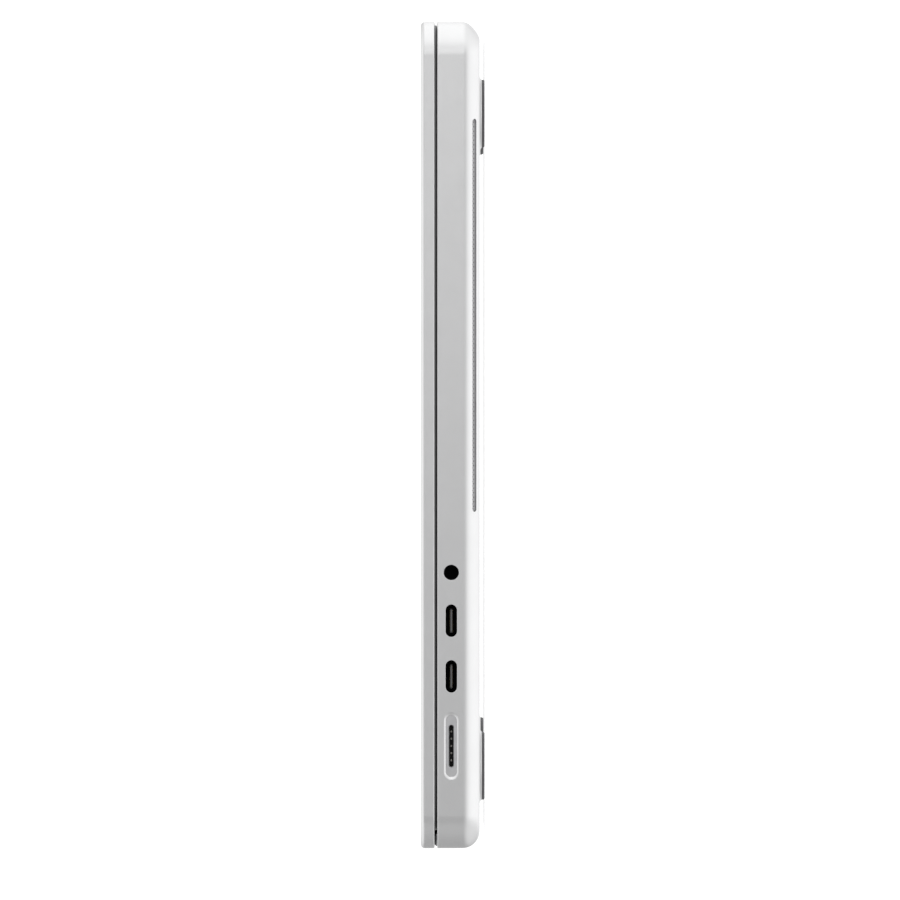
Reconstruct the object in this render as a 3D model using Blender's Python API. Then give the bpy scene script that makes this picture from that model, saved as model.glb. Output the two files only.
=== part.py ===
"""Closed 14-inch class notebook computer lying on its feet. +Z up, front edge at -Y, metres."""

import math

import bmesh
import bpy

# Overall size
WIDTH = 0.3126
DEPTH = 0.2212
CORNER_R = 0.0090
CORNER_SEG = 9

# Levels above the surface the feet stand on
FOOT_TOP = 0.0007
BOSS_BOTTOM = 0.0010
BASE_BOTTOM = 0.0013
DECK_TOP = 0.0127
DECK_THICK = 0.0013
LID_BOTTOM = 0.0134
LID_TOP = 0.0171
LID_SKIN = 0.0010
EDGE_CHAMFER = 0.00025
DIAGONAL = math.sqrt(0.5)
LID_EDGE_R = 0.0011

# Base shell
FILLET_IN = 0.0048
FILLET_UP = 0.0046
WALL = 0.0022
REAR_WALL = 0.0065
COVER_INSET = 0.0052
COVER_THICK = 0.0010
GAP = 0.0003

# Hinge
HINGE_Y = DEPTH / 2 - 0.0018
HINGE_Z = 0.00925
SCOOP_FRONT = 0.0020
SCOOP_DOWN = 0.0045
EAR = 0.0143
KNUCKLE_R = 0.0016
KNUCKLE_UP = 0.00385
BORE_R = 0.00098
PIN_R = 0.00090
CLUTCH_HALF = 0.1150

# Keyboard and trackpad
PITCH = 0.0189
KEY = 0.0171
KEY_BOTTOM = 0.0114
KEY_TOP = 0.0126
KEY_WEB = 0.0003
WELL_HALF_X = 0.1375
WELL_HALF_Y = 0.0571
WELL_Y = 0.0361
TRAY_BOTTOM = 0.0090
TRAY_FLOOR = 0.0101
PAD_HALF_X = 0.0650
PAD_Y0 = -0.1056
PAD_Y1 = -0.0256

# Sockets
PORT_Z = 0.00893
SIDE_X = WIDTH / 2
JACK_Y = 0.0367
JACK_HOLE_R = 0.00204
USB_Y = (0.0496, 0.0645)
USB_LONG = 0.00865
USB_HIGH = 0.00305
CHARGE_Y = 0.0831
CARD_Y = 0.0425
USB_RIGHT_Y = 0.0640
HDMI_Y = 0.0815
HDMI_Z = 0.0084

# Air slots in the curved lower edge, SLOT_AT round the curve from the underside
SLOT_Y0 = -0.0846
SLOT_Y1 = 0.0205
SLOT_WIDE = 0.0015
SLOT_AT = math.radians(47.0)

# Finger notch in the middle of the front edge
NOTCH_HALF = 0.0460
NOTCH_IN = 0.0014
NOTCH_DOWN = 0.0011

# Feet and cover screws
FOOT_R = 0.00915
POCKET_IN = 0.0015
GASKET_IN = 0.0018
GASKET_INNER = 0.0032
GLASS_IN = 0.0035
REAR_EXTRA = 0.0030
GASKET_Z0 = 0.0130
GASKET_Z1 = 0.0146
GLASS_Z0 = 0.0136
GLASS_Z1 = 0.0146
PANEL_HALF_X = 0.1500
PANEL_Y0 = -0.0985
PANEL_Y1 = 0.1020
PANEL_Z0 = 0.0149
PANEL_Z1 = 0.0158
CAMERA_HALF_X = 0.0040
CAMERA_Y0 = -0.1060
CAMERA_Y1 = -0.1010
FOOT_XY = ((-0.131, -0.0862), (0.131, -0.0862), (-0.131, 0.0888), (0.131, 0.0888))
FOOT_NAMES = ("foot_front_left", "foot_front_right", "foot_rear_left", "foot_rear_right")
SCREW_X = 0.1463
SCREW_Y = (-0.0995, -0.0350, 0.0200, 0.0975)
BOLT_HEAD_R = 0.0018
BOLT_SHANK_R = 0.0008

# Pieces that turn with the lid
LID_PIECES = (
    "lid_cover",
    "lid_gasket",
    "display_glass",
    "display_panel",
    "camera_module",
    "clutch_cover",
    "lid_arm_left",
    "lid_arm_right",
)

# Fans
FAN_X = 0.0950
FAN_Y = 0.0730
FAN_R = 0.0240
FAN_BLADES = 21


def clear_scene():
    for obj in list(bpy.data.objects):
        bpy.data.objects.remove(obj, do_unlink=True)


def material(name, colour, roughness, metallic):
    mat = bpy.data.materials.new(name)
    mat.use_nodes = True
    shader = mat.node_tree.nodes["Principled BSDF"]
    shader.inputs["Base Color"].default_value = (colour[0], colour[1], colour[2], 1.0)
    shader.inputs["Roughness"].default_value = roughness
    shader.inputs["Metallic"].default_value = metallic
    return mat


def rounded(x0, x1, y0, y1, radius, seg=CORNER_SEG):
    """Counter-clockwise outline of a rectangle with round corners."""
    points = []
    centres = (
        (x1 - radius, y0 + radius, -90.0),
        (x1 - radius, y1 - radius, 0.0),
        (x0 + radius, y1 - radius, 90.0),
        (x0 + radius, y0 + radius, 180.0),
    )
    for cx, cy, start in centres:
        for i in range(seg + 1):
            a = math.radians(start + 90.0 * i / seg)
            points.append((cx + radius * math.cos(a), cy + radius * math.sin(a)))
    return points


def circle(cx, cy, radius, seg=24):
    points = []
    for i in range(seg):
        a = 2.0 * math.pi * i / seg
        points.append((cx + radius * math.cos(a), cy + radius * math.sin(a)))
    return points


def stadium(cx, cy, length, height, seg=8):
    """Outline of a slot with round ends, long in the first direction."""
    r = height / 2
    h = length / 2 - r
    points = []
    for i in range(seg + 1):
        a = math.radians(-90.0 + 180.0 * i / seg)
        points.append((cx + h + r * math.cos(a), cy + r * math.sin(a)))
    for i in range(seg + 1):
        a = math.radians(90.0 + 180.0 * i / seg)
        points.append((cx - h + r * math.cos(a), cy + r * math.sin(a)))
    return points


def loft(bm, rings):
    """Closed body through a stack of rings with the same number of points."""
    rows = [[bm.verts.new(p) for p in ring] for ring in rings]
    count = len(rows[0])
    for a, b in zip(rows[:-1], rows[1:]):
        for i in range(count):
            j = (i + 1) % count
            bm.faces.new((a[i], a[j], b[j], b[i]))
    bm.faces.new(list(reversed(rows[0])))
    bm.faces.new(rows[-1])


def prism(bm, outline, axis, lo, hi):
    """Outline extruded from lo to hi. Axis X takes (y, z) points, Y takes (x, z), Z takes (x, y)."""
    if axis == "X":
        ring = [(lo, p[0], p[1]) for p in outline]
        push = (hi - lo, 0.0, 0.0)
    elif axis == "Y":
        ring = [(p[0], lo, p[1]) for p in outline]
        push = (0.0, hi - lo, 0.0)
    else:
        ring = [(p[0], p[1], lo) for p in outline]
        push = (0.0, 0.0, hi - lo)
    face = bm.faces.new([bm.verts.new(p) for p in ring])
    grown = bmesh.ops.extrude_face_region(bm, geom=[face])
    moved = [v for v in grown["geom"] if isinstance(v, bmesh.types.BMVert)]
    bmesh.ops.translate(bm, verts=moved, vec=push)


def block(bm, x0, x1, y0, y1, z0, z1):
    prism(bm, [(x0, y0), (x1, y0), (x1, y1), (x0, y1)], "Z", z0, z1)


def outline_at(inset):
    radius = max(CORNER_R - inset, 0.0006)
    return rounded(
        -WIDTH / 2 + inset, WIDTH / 2 - inset, -DEPTH / 2 + inset, DEPTH / 2 - inset, radius
    )


def shell(bm, profile):
    """Body whose plan outline steps through (inset, height) pairs."""
    loft(bm, [[(p[0], p[1], z) for p in outline_at(inset)] for inset, z in profile])


def new_object(name, draw, origin, mat):
    bm = bmesh.new()
    draw(bm)
    bmesh.ops.recalc_face_normals(bm, faces=bm.faces)
    bmesh.ops.translate(bm, verts=bm.verts, vec=[-c for c in origin])
    mesh = bpy.data.meshes.new(name)
    bm.to_mesh(mesh)
    bm.free()
    obj = bpy.data.objects.new(name, mesh)
    obj.location = origin
    if mat is not None:
        mesh.materials.append(mat)
        mesh.shade_smooth()
        mesh.set_sharp_from_angle(angle=math.radians(30.0))
    bpy.context.scene.collection.objects.link(obj)
    return obj


def tool(name, draw):
    obj = new_object(name, draw, (0.0, 0.0, 0.0), None)
    obj.hide_render = True
    obj.display_type = "WIRE"
    return obj


def combine(obj, draw, operation):
    helper = tool(obj.name + "_" + operation.lower(), draw)
    mod = obj.modifiers.new(operation.lower(), "BOOLEAN")
    mod.operation = operation
    mod.solver = "EXACT"
    mod.object = helper


def part(name, draw, colour, roughness, metallic, origin=(0.0, 0.0, 0.0), cut=None, add=None):
    obj = new_object(name, draw, origin, material(name, colour, roughness, metallic))
    if add is not None:
        combine(obj, add, "UNION")
    if cut is not None:
        combine(obj, cut, "DIFFERENCE")
    return obj


ALU = (0.62, 0.63, 0.64)
DARK = (0.02, 0.02, 0.022)
STEEL = (0.45, 0.45, 0.46)


# Lid

def lid_outer(bm):
    profile = [(EDGE_CHAMFER, LID_BOTTOM), (0.0, LID_BOTTOM + EDGE_CHAMFER)]
    for i in range(6):
        a = math.radians(90.0 * i / 5)
        inset = LID_EDGE_R * (1.0 - math.cos(a))
        profile.append((inset, LID_TOP - LID_EDGE_R + LID_EDGE_R * math.sin(a)))
    shell(bm, profile)


def lid_window(inset, rear):
    """Outline inside the lid that stops short of the hinge edge."""
    return rounded(
        -WIDTH / 2 + inset,
        WIDTH / 2 - inset,
        -DEPTH / 2 + inset,
        DEPTH / 2 - rear,
        CORNER_R - inset,
    )


def lid_cavity(bm):
    prism(bm, lid_window(POCKET_IN, POCKET_IN + REAR_EXTRA), "Z", LID_BOTTOM - 0.002, LID_TOP - LID_SKIN)


def gasket_body(bm):
    prism(bm, lid_window(GASKET_IN, GASKET_IN + REAR_EXTRA), "Z", GASKET_Z0, GASKET_Z1)


def gasket_hole(bm):
    prism(bm, lid_window(GASKET_INNER, GASKET_INNER + REAR_EXTRA), "Z", GASKET_Z0 - 0.001, GASKET_Z1 + 0.001)


def build_lid():
    part("lid_cover", lid_outer, ALU, 0.35, 1.0, cut=lid_cavity)
    part("lid_gasket", gasket_body, DARK, 0.7, 0.0, cut=gasket_hole)

    def glass(bm):
        prism(bm, lid_window(GLASS_IN, GLASS_IN + REAR_EXTRA), "Z", GLASS_Z0, GLASS_Z1)

    def panel(bm):
        block(bm, -PANEL_HALF_X, PANEL_HALF_X, PANEL_Y0, PANEL_Y1, PANEL_Z0, PANEL_Z1)

    def camera(bm):
        block(bm, -CAMERA_HALF_X, CAMERA_HALF_X, CAMERA_Y0, CAMERA_Y1, PANEL_Z0, PANEL_Z1)

    part("display_glass", glass, (0.01, 0.01, 0.012), 0.08, 0.0)
    part("display_panel", panel, (0.05, 0.05, 0.06), 0.4, 0.0)
    part("camera_module", camera, DARK, 0.3, 0.0)


# Hinge

def knuckle_outline():
    """Round about the hinge axis with a straight web up to the lid."""
    top = HINGE_Z + KNUCKLE_UP
    points = [(HINGE_Y + KNUCKLE_R, top), (HINGE_Y - KNUCKLE_R, top)]
    for i in range(17):
        a = math.radians(180.0 + 180.0 * i / 16)
        points.append((HINGE_Y + KNUCKLE_R * math.cos(a), HINGE_Z + KNUCKLE_R * math.sin(a)))
    return points


def clutch_outline():
    """The knuckle's outline with a thin lip forward that closes the gap under the lid."""
    points = knuckle_outline()
    top = HINGE_Z + KNUCKLE_UP
    lip = [(HINGE_Y - 0.0027, top), (HINGE_Y - 0.0027, top - 0.0002)]
    return [points[0]] + lip + [(HINGE_Y - KNUCKLE_R, top - 0.0002)] + points[2:]


def build_hinge():
    def clutch(bm):
        prism(bm, clutch_outline(), "X", -CLUTCH_HALF, CLUTCH_HALF)

    part("clutch_cover", clutch, DARK, 0.5, 0.0, origin=(0.0, HINGE_Y, HINGE_Z))

    for side, sign in (("left", -1.0), ("right", 1.0)):
        def arm(bm, s=sign):
            prism(bm, knuckle_outline(), "X", *sorted((s * 0.1155, s * 0.1280)))

        def arm_bore(bm, s=sign):
            ring = circle(HINGE_Y, HINGE_Z, BORE_R, 20)
            prism(bm, ring, "X", *sorted((s * 0.1145, s * 0.1290)))

        def bracket(bm, s=sign):
            square = [
                (HINGE_Y - 0.0017, HINGE_Z - 0.0042),
                (HINGE_Y + 0.0016, HINGE_Z - 0.0042),
                (HINGE_Y + 0.0016, HINGE_Z + 0.0016),
                (HINGE_Y - 0.0017, HINGE_Z + 0.0016),
            ]
            prism(bm, square, "X", *sorted((s * 0.1284, s * 0.1417)))

        def pin(bm, s=sign):
            ring = circle(HINGE_Y, HINGE_Z, PIN_R, 20)
            prism(bm, ring, "X", *sorted((s * 0.1160, s * 0.1300)))

        origin = (sign * 0.1220, HINGE_Y, HINGE_Z)
        part("lid_arm_" + side, arm, STEEL, 0.35, 1.0, origin=origin, cut=arm_bore)
        part("hinge_bracket_" + side, bracket, STEEL, 0.35, 1.0, origin=origin, add=pin)


# Base shell

def base_outer(bm):
    profile = []
    for i in range(9):
        a = math.radians(90.0 * i / 8)
        inset = FILLET_IN * (1.0 - math.sin(a))
        profile.append((inset, BASE_BOTTOM + FILLET_UP * (1.0 - math.cos(a))))
    profile.append((0.0, DECK_TOP - EDGE_CHAMFER))
    profile.append((EDGE_CHAMFER, DECK_TOP))
    shell(bm, profile)


def cavity_ring(inset, rear):
    return rounded(
        -WIDTH / 2 + inset,
        WIDTH / 2 - inset,
        -DEPTH / 2 + inset,
        DEPTH / 2 - rear,
        max(CORNER_R - inset, 0.001),
    )


def base_hollow(bm):
    """Everything taken out of the solid base, as one set of bodies that do not touch."""
    steps = (
        (COVER_INSET - GAP, COVER_INSET - GAP, BASE_BOTTOM - 0.002),
        (COVER_INSET - GAP, COVER_INSET - GAP, BASE_BOTTOM + 0.0014),
        (WALL, REAR_WALL, BASE_BOTTOM + 0.0040),
        (WALL, REAR_WALL, DECK_TOP - DECK_THICK),
    )
    loft(bm, [[(p[0], p[1], z) for p in cavity_ring(i, r)] for i, r, z in steps])


def base_bosses(bm):
    for sign in (-1.0, 1.0):
        for y in SCREW_Y:
            ring = circle(sign * SCREW_X, y, 0.0022, 16)
            prism(bm, ring, "Z", BASE_BOTTOM + 0.0013, DECK_TOP - 0.0006)


def base_openings(bm):
    well = rounded(
        -WELL_HALF_X, WELL_HALF_X, WELL_Y - WELL_HALF_Y, WELL_Y + WELL_HALF_Y, 0.0025, 4
    )
    prism(bm, well, "Z", DECK_TOP - 0.003, DECK_TOP + 0.002)
    pad = rounded(
        -PAD_HALF_X - GAP, PAD_HALF_X + GAP, PAD_Y0 - GAP, PAD_Y1 + GAP, 0.0035, 4
    )
    prism(bm, pad, "Z", DECK_TOP - 0.003, DECK_TOP + 0.002)

    # Screw bores
    for sign in (-1.0, 1.0):
        for y in SCREW_Y:
            ring = circle(sign * SCREW_X, y, 0.0011, 12)
            prism(bm, ring, "Z", BASE_BOTTOM - 0.001, BASE_BOTTOM + 0.0060)

    # Socket openings through the side walls
    left = (-SIDE_X - 0.001, -SIDE_X + WALL + 0.0006)
    right = (SIDE_X - WALL - 0.0006, SIDE_X + 0.001)
    prism(bm, circle(JACK_Y, PORT_Z, JACK_HOLE_R), "X", *left)
    for y in USB_Y:
        prism(bm, stadium(y, PORT_Z, USB_LONG, USB_HIGH), "X", *left)
    prism(bm, stadium(CHARGE_Y, PORT_Z, 0.0178, 0.0038), "X", *left)
    prism(bm, stadium(USB_RIGHT_Y, PORT_Z, USB_LONG, USB_HIGH), "X", *right)
    prism(bm, rounded(CARD_Y - 0.0122, CARD_Y + 0.0122, PORT_Z - 0.0013, PORT_Z + 0.0013, 0.0004, 2),
          "X", *right)
    prism(bm, hdmi_outline(0.0), "X", *right)

    # Air slots, cut up and inward at 45 degrees
    for sign in (-1.0, 1.0):
        ring = stadium((SLOT_Y0 + SLOT_Y1) / 2, 0.0, SLOT_Y1 - SLOT_Y0, SLOT_WIDE, 6)
        rings = []
        for depth in (-0.0012, 0.0034):
            row = []
            for y, t in ring:
                inset = FILLET_IN * (1.0 - math.sin(SLOT_AT)) + (depth + t) * DIAGONAL
                z = BASE_BOTTOM + FILLET_UP * (1.0 - math.cos(SLOT_AT)) + (depth - t) * DIAGONAL
                row.append((sign * (SIDE_X - inset), y, z))
            rings.append(row)
        loft(bm, rings)

    # Scoop along the rear for the hinge knuckle and the clutch cover
    rear = DEPTH / 2 + 0.002
    half = WIDTH / 2 - EAR
    block(bm, -half, half, HINGE_Y - SCOOP_FRONT, rear, HINGE_Z - SCOOP_DOWN, DECK_TOP + 0.002)


def finger_notch(bm):
    """Shallow dish with sloping ends where a finger lifts the lid."""
    front = -DEPTH / 2
    outline = [
        (-NOTCH_HALF, DECK_TOP + 0.001),
        (-NOTCH_HALF + 0.0025, DECK_TOP - NOTCH_DOWN),
        (NOTCH_HALF - 0.0025, DECK_TOP - NOTCH_DOWN),
        (NOTCH_HALF, DECK_TOP + 0.001),
    ]
    prism(bm, outline, "Y", front - 0.001, front + NOTCH_IN)


def grille_pocket(bm):
    wall = HINGE_Y - SCOOP_FRONT
    block(bm, -0.1080, 0.1080, wall - 0.0011, wall + 0.0005, HINGE_Z - 0.0041, HINGE_Z + 0.0015)


def grille_windows(bm):
    wall = HINGE_Y - SCOOP_FRONT
    for sign in (-1.0, 1.0):
        x0, x1 = sorted((sign * 0.0150, sign * 0.1040))
        block(bm, x0, x1, wall - 0.0040, wall - 0.0005, HINGE_Z - 0.0030, HINGE_Z + 0.0008)


def hdmi_outline(grow):
    w = 0.0072 + grow
    h = 0.0023 + grow
    return [
        (HDMI_Y - w + 0.0016, HDMI_Z - h),
        (HDMI_Y + w - 0.0016, HDMI_Z - h),
        (HDMI_Y + w, HDMI_Z - h + 0.0016),
        (HDMI_Y + w, HDMI_Z + h),
        (HDMI_Y - w, HDMI_Z + h),
        (HDMI_Y - w, HDMI_Z - h + 0.0016),
    ]


def build_base():
    case = part("top_case", base_outer, ALU, 0.35, 1.0, cut=base_hollow)
    combine(case, base_bosses, "UNION")
    helper_cuts = (base_openings, finger_notch, grille_pocket, grille_windows)
    for draw in helper_cuts:
        helper = tool("top_case_" + draw.__name__, draw)
        mod = case.modifiers.new(draw.__name__, "BOOLEAN")
        mod.operation = "DIFFERENCE"
        mod.solver = "EXACT"
        mod.object = helper

    def cover(bm):
        prism(bm, outline_at(COVER_INSET), "Z", BASE_BOTTOM, BASE_BOTTOM + COVER_THICK)

    def cover_bosses(bm):
        for x, y in FOOT_XY:
            prism(bm, circle(x, y, FOOT_R, 40), "Z", BOSS_BOTTOM, BASE_BOTTOM + 0.0004)

    def cover_holes(bm):
        for sign in (-1.0, 1.0):
            for y in SCREW_Y:
                ring = circle(sign * SCREW_X, y, BOLT_HEAD_R + GAP, 20)
                prism(bm, ring, "Z", BASE_BOTTOM - 0.001, BASE_BOTTOM + 0.002)

    part("bottom_cover", cover, ALU, 0.4, 1.0, add=cover_bosses, cut=cover_holes)

    for name, (x, y) in zip(FOOT_NAMES, FOOT_XY):
        def foot(bm, cx=x, cy=y):
            radii = ((FOOT_R - 0.0005, 0.0), (FOOT_R - 0.0002, 0.0001), (FOOT_R - 0.00005, 0.0003),
                     (FOOT_R, FOOT_TOP))
            loft(bm, [[(p[0], p[1], z) for p in circle(cx, cy, r, 40)] for r, z in radii])

        part(name, foot, DARK, 0.7, 0.0, origin=(x, y, 0.0))

    number = 1
    for sign in (-1.0, 1.0):
        for y in SCREW_Y:
            def screw(bm, cx=sign * SCREW_X, cy=y):
                steps = (
                    (BOLT_HEAD_R, BASE_BOTTOM + 0.00005),
                    (BOLT_HEAD_R, BASE_BOTTOM + 0.0009),
                    (BOLT_SHANK_R, BASE_BOTTOM + 0.0009 + 0.00005),
                    (BOLT_SHANK_R, BASE_BOTTOM + 0.0055),
                )
                loft(bm, [[(p[0], p[1], z) for p in circle(cx, cy, r, 16)] for r, z in steps])

            part(f"cover_screw_{number}", screw, STEEL, 0.3, 1.0,
                 origin=(sign * SCREW_X, y, BASE_BOTTOM))
            number += 1

    def grille(bm):
        wall = HINGE_Y - SCOOP_FRONT
        block(bm, -0.1077, 0.1077, wall - 0.0008, wall - 0.0001, HINGE_Z - 0.0038, HINGE_Z + 0.0012)

    def grille_slots(bm):
        wall = HINGE_Y - SCOOP_FRONT
        for sign in (-1.0, 1.0):
            for i in range(18):
                x = sign * (0.0185 + 0.0049 * i)
                block(bm, x - 0.0019, x + 0.0019, wall - 0.002, wall + 0.001,
                      HINGE_Z - 0.0027, HINGE_Z + 0.0005)

    part("rear_vent_grille", grille, DARK, 0.5, 0.0, cut=grille_slots)


# Sockets

def build_sockets():
    def jack(bm):
        block(bm, -SIDE_X + WALL + GAP, -SIDE_X + 0.0090, JACK_Y - 0.0029, JACK_Y + 0.0029,
              PORT_Z - 0.0024, PORT_Z + 0.0021)

    def jack_bore(bm):
        prism(bm, circle(JACK_Y, PORT_Z, 0.0018), "X", -SIDE_X, -SIDE_X + 0.0080)

    part("headphone_jack", jack, DARK, 0.5, 0.0, cut=jack_bore)

    usb = (
        ("usb_c_left_front", USB_Y[0], -1.0),
        ("usb_c_left_rear", USB_Y[1], -1.0),
        ("usb_c_right", USB_RIGHT_Y, 1.0),
    )
    for name, y, sign in usb:
        def across(a, b, s=sign):
            return sorted((s * (SIDE_X - a), s * (SIDE_X - b)))

        def body(bm, cy=y, span=across):
            x0, x1 = span(WALL + GAP, 0.0088)
            block(bm, x0, x1, cy - 0.0050, cy + 0.0050, PORT_Z - 0.0021, PORT_Z + 0.0021)

        def hollow(bm, cy=y, span=across):
            prism(bm, stadium(cy, PORT_Z, USB_LONG - 0.0002, USB_HIGH - 0.0002), "X", *span(0.0, 0.0075))

        def tongue(bm, cy=y, span=across):
            x0, x1 = span(0.0012, 0.0080)
            block(bm, x0, x1, cy - 0.0033, cy + 0.0033, PORT_Z - 0.00035, PORT_Z + 0.00035)

        socket = part(name, body, DARK, 0.4, 0.0, cut=hollow)
        combine(socket, tongue, "UNION")

    def charge(bm):
        prism(bm, stadium(CHARGE_Y, PORT_Z, 0.0172, 0.0032), "X", -SIDE_X + 0.0010, -SIDE_X + 0.0070)

    def charge_slot(bm):
        prism(bm, stadium(CHARGE_Y, PORT_Z, 0.0112, 0.0012), "X", -SIDE_X, -SIDE_X + 0.0020)

    def charge_pins(bm):
        for i in range(5):
            y = CHARGE_Y + (i - 2) * 0.00195
            prism(bm, circle(y, PORT_Z, 0.00035, 12), "X", -SIDE_X + 0.0012, -SIDE_X + 0.0030)

    port = part("charge_port", charge, STEEL, 0.35, 1.0, cut=charge_slot)
    combine(port, charge_pins, "UNION")

    def card(bm):
        block(bm, SIDE_X - 0.0150, SIDE_X - WALL - GAP, CARD_Y - 0.0130, CARD_Y + 0.0130,
              PORT_Z - 0.0019, PORT_Z + 0.0019)

    def card_hollow(bm):
        block(bm, SIDE_X - 0.0142, SIDE_X, CARD_Y - 0.0121, CARD_Y + 0.0121,
              PORT_Z - 0.0012, PORT_Z + 0.0012)

    part("card_slot", card, DARK, 0.5, 0.0, cut=card_hollow)

    def hdmi(bm):
        block(bm, SIDE_X - 0.0110, SIDE_X - WALL - GAP, HDMI_Y - 0.0080, HDMI_Y + 0.0080,
              HDMI_Z - 0.0027, HDMI_Z + 0.0027)

    def hdmi_hollow(bm):
        prism(bm, hdmi_outline(-0.0001), "X", SIDE_X - 0.0100, SIDE_X)

    def hdmi_tongue(bm):
        block(bm, SIDE_X - 0.0105, SIDE_X - 0.0020, HDMI_Y - 0.0055, HDMI_Y + 0.0055,
              HDMI_Z - 0.0001, HDMI_Z + 0.0008)

    hdmi_port = part("hdmi_port", hdmi, DARK, 0.4, 0.0, cut=hdmi_hollow)
    combine(hdmi_port, hdmi_tongue, "UNION")


# Keyboard and trackpad

def row_y(row):
    """Centre of a row, row 0 at the rear."""
    return WELL_Y + (2.5 - row) * PITCH


def row_outline(x, widths):
    """Row of caps seen from the front, joined by a thin web along the bottom."""
    left = x
    tops = []
    for width in widths:
        tops.append((left + (PITCH - KEY) / 2, left + width * PITCH - (PITCH - KEY) / 2))
        left += width * PITCH
    points = [(tops[0][0], KEY_BOTTOM), (tops[-1][1], KEY_BOTTOM)]
    for i in range(len(tops) - 1, -1, -1):
        lo, hi = tops[i]
        if i < len(tops) - 1:
            points.append((hi, KEY_BOTTOM + KEY_WEB))
        points.append((hi, KEY_TOP))
        points.append((lo, KEY_TOP))
        if i > 0:
            points.append((lo, KEY_BOTTOM + KEY_WEB))
    return points


def build_keys():
    left = -7.25 * PITCH
    rows = (
        ("key_row_function", 0, 0.0, [1.5] + [1.0] * 12),
        ("key_power", 0, 13.5, [1.0]),
        ("key_row_number", 1, 0.0, [1.0] * 13 + [1.5]),
        ("key_row_upper", 2, 0.0, [1.5] + [1.0] * 13),
        ("key_row_home", 3, 0.0, [1.75] + [1.0] * 11 + [1.75]),
        ("key_row_lower", 4, 0.0, [2.25] + [1.0] * 10 + [2.25]),
        ("key_row_left_modifiers", 5, 0.0, [1.0, 1.0, 1.0, 1.25]),
        ("key_space", 5, 4.25, [5.0]),
        ("key_row_right_modifiers", 5, 9.25, [1.25, 1.0]),
    )
    for name, row, start, widths in rows:
        x = left + start * PITCH
        y = row_y(row)
        middle = x + sum(widths) * PITCH / 2

        def caps(bm, x0=x, cy=y, w=widths):
            prism(bm, row_outline(x0, w), "Y", cy - KEY / 2, cy + KEY / 2)

        part(name, caps, DARK, 0.55, 0.0, origin=(middle, y, KEY_BOTTOM))

    base = left + 11.5 * PITCH
    low = row_y(5) - KEY / 2
    arrows = (
        ("key_arrow_left", 0.5, low),
        ("key_arrow_down", 1.5, low),
        ("key_arrow_up", 1.5, low + KEY / 2 + 0.0003),
        ("key_arrow_right", 2.5, low),
    )
    for name, column, y0 in arrows:
        cx = base + column * PITCH

        def arrow(bm, x=cx, y=y0):
            block(bm, x - KEY / 2, x + KEY / 2, y, y + KEY / 2 - 0.0003, KEY_BOTTOM, KEY_TOP)

        part(name, arrow, DARK, 0.55, 0.0, origin=(cx, y0 + KEY / 4, KEY_BOTTOM))

    def tray(bm):
        x = WELL_HALF_X + 0.0020
        block(bm, -x, x, WELL_Y - WELL_HALF_Y - 0.0020, WELL_Y + WELL_HALF_Y + 0.0020,
              TRAY_BOTTOM, DECK_TOP - DECK_THICK - GAP)

    def tray_dish(bm):
        x = WELL_HALF_X + 0.0002
        block(bm, -x, x, WELL_Y - WELL_HALF_Y - 0.0002, WELL_Y + WELL_HALF_Y + 0.0002,
              TRAY_FLOOR, DECK_TOP)

    part("keyboard_tray", tray, DARK, 0.6, 0.0, cut=tray_dish)

    def pad(bm):
        prism(bm, rounded(-PAD_HALF_X, PAD_HALF_X, PAD_Y0, PAD_Y1, 0.0032, 4), "Z", 0.01165, 0.01265)

    part("trackpad", pad, (0.55, 0.56, 0.57), 0.4, 0.0, origin=(0.0, (PAD_Y0 + PAD_Y1) / 2, 0.01165))


# Inside

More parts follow.
